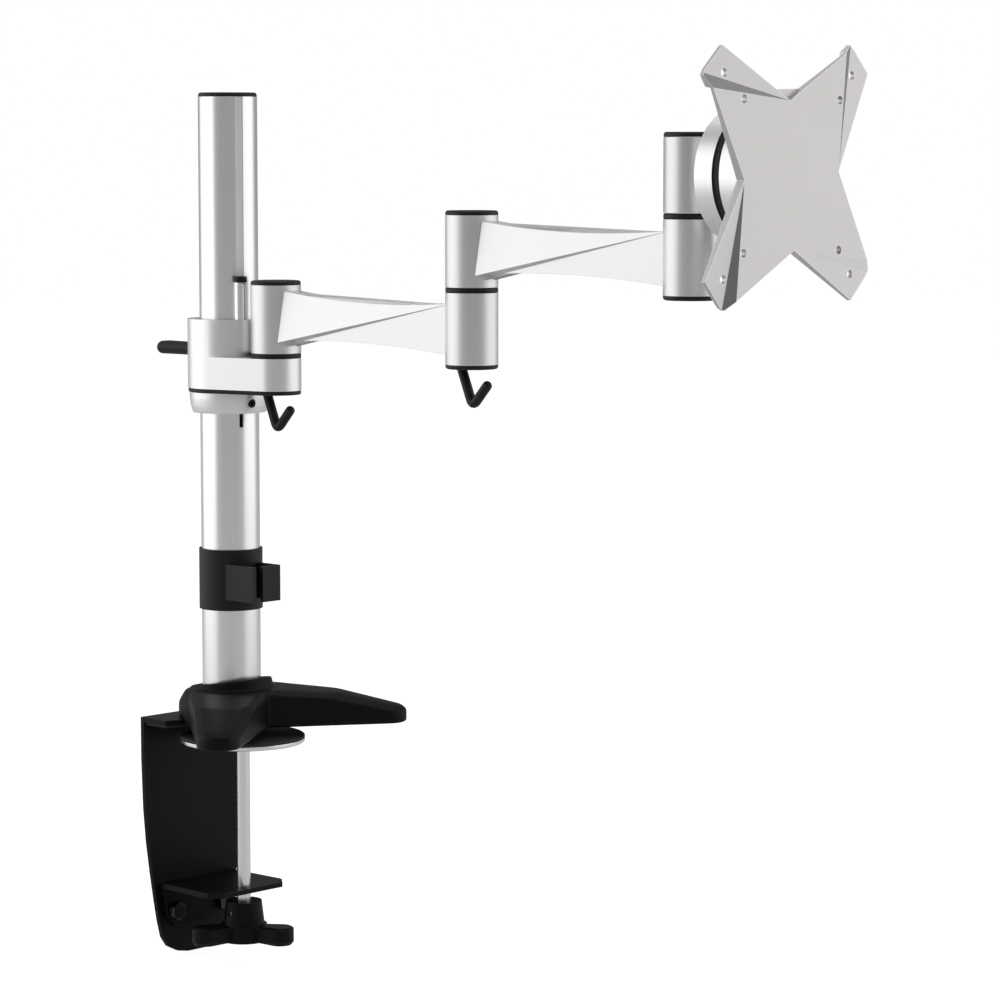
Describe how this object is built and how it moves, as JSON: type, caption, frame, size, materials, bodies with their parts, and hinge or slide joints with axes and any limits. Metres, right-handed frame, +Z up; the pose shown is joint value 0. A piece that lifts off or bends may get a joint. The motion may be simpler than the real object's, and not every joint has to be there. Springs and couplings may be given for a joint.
{
  "type": "desk clamp monitor arm",
  "caption": "Monitor arm that clamps to a desk edge: V foot, pole, height collar, two swinging links, and a tilting head with a turning pinwheel screen plate.",
  "frame": {"origin": "on the pole axis, in the plane of the desk top that the foot and clamp mat rest on", "axes": "+Z up along the pole, +X along the stretched-out arm, over the desk, +Y to the arm's left"},
  "size_m": [0.4735, 0.1558, 0.5257],
  "materials": {
    "satin_aluminium": "satin anodised",
    "bright_aluminium": "bright anodised",
    "black_plastic": "fine moulded texture",
    "black_steel": "semi-gloss black powder coat",
    "steel": "zinc plated",
    "plated_steel": "bright plated",
    "nylon": "natural nylon",
    "rubber": "matt"
  },
  "bodies": {
    "base": {"foot": "black_steel", "foot_pads": "rubber", "clamp_spine": "black_steel", "clamp_mat": "rubber", "clamp_jaw": "black_steel", "jaw_bolts": "steel", "jaw_bush": "steel", "pole": "bright_aluminium", "pole_cap": "black_plastic", "pole_plug": "steel", "pole_bolt": "steel"},
    "pad": {"pad_plate": "plated_steel", "pad_rubber": "rubber", "pad_rivet": "steel"},
    "screw": {"clamp_screw": "plated_steel", "clamp_knob": "black_plastic", "knob_pin": "steel"},
    "clip": {"cord_clip": "black_plastic"},
    "stop": {"stop_ring": "satin_aluminium", "ring_screw": "black_plastic"},
    "carriage": {"collar": "satin_aluminium", "collar_bush": "nylon", "collar_cover": "black_plastic", "collar_hook": "black_plastic", "guide_key": "bright_aluminium", "guide_key_cap": "black_plastic", "pin_1": "steel", "washer_1": "black_plastic", "pin_nut_1": "steel"},
    "lock": {"lock_lever": "black_plastic", "lock_screw": "steel"},
    "arm_one": {"arm_1": "satin_aluminium", "bushes_1": "nylon", "cap_1": "black_plastic", "end_cap_1": "black_plastic", "arm_hook": "black_plastic", "pin_2": "steel", "washer_2": "black_plastic", "pin_nut_2": "steel"},
    "arm_two": {"arm_2": "satin_aluminium", "bushes_2": "nylon", "cap_2": "black_plastic", "end_cap_2": "black_plastic", "pin_3": "steel", "washer_3": "black_plastic", "pin_nut_3": "steel"},
    "head": {"head": "satin_aluminium", "bushes_3": "nylon", "cap_3": "black_plastic", "tilt_bolt": "steel", "tilt_nut": "steel"},
    "tilt": {"rear_disc": "satin_aluminium", "centre_bolt": "steel", "friction_ring": "black_plastic", "centre_nut": "steel"},
    "plate": {"front_disc": "satin_aluminium", "plate_screws": "steel", "screen_plate": "satin_aluminium"}
  },
  "joints": [
    {"name": "pad_travel", "type": "slide", "parent": "base", "child": "pad", "axis": [0, 0, 1], "range_m": [-0.0751, 0.0041]},
    {"name": "knob_turn", "type": "hinge", "parent": "pad", "child": "screw", "pos_m": [0.009, 0, -0.11], "axis": [0, 0, 1], "range_deg": [-13500, 720]},
    {"name": "clip_slide", "type": "slide", "parent": "base", "child": "clip", "axis": [0, 0, 1], "range_m": [-0.035, 0.025]},
    {"name": "ring_slide", "type": "slide", "parent": "base", "child": "stop", "axis": [0, 0, 1], "range_m": [-0.05, 0]},
    {"name": "height_slide", "type": "slide", "parent": "base", "child": "carriage", "axis": [0, 0, 1], "range_m": [0, 0.12]},
    {"name": "lock_turn", "type": "hinge", "parent": "carriage", "child": "lock", "pos_m": [-0.028, 0, 0.218], "axis": [1, 0, 0], "range_deg": [-180, 180]},
    {"name": "arm_one_swivel", "type": "hinge", "parent": "carriage", "child": "arm_one", "pos_m": [0.0396, 0, 0.2183], "axis": [0, 0, 1], "range_deg": [-90, 90]},
    {"name": "arm_two_swivel", "type": "hinge", "parent": "arm_one", "child": "arm_two", "pos_m": [0.1946, 0, 0.26], "axis": [0, 0, 1], "range_deg": [-90, 90]},
    {"name": "head_pan", "type": "hinge", "parent": "arm_two", "child": "head", "pos_m": [0.3496, 0, 0.3017], "axis": [0, 0, 1], "range_deg": [-90, 90]},
    {"name": "head_tilt", "type": "hinge", "parent": "head", "child": "tilt", "pos_m": [0.371, 0, 0.3211], "axis": [0, 1, 0], "range_deg": [-15, 15]},
    {"name": "plate_turn", "type": "hinge", "parent": "tilt", "child": "plate", "pos_m": [0.4, 0, 0.3211], "axis": [1, 0, 0], "continuous": true}
  ],
  "couplings": [
    {"joint": "pad_travel", "follows": "knob_turn", "m_per_rad": 0.00031831}
  ]
}
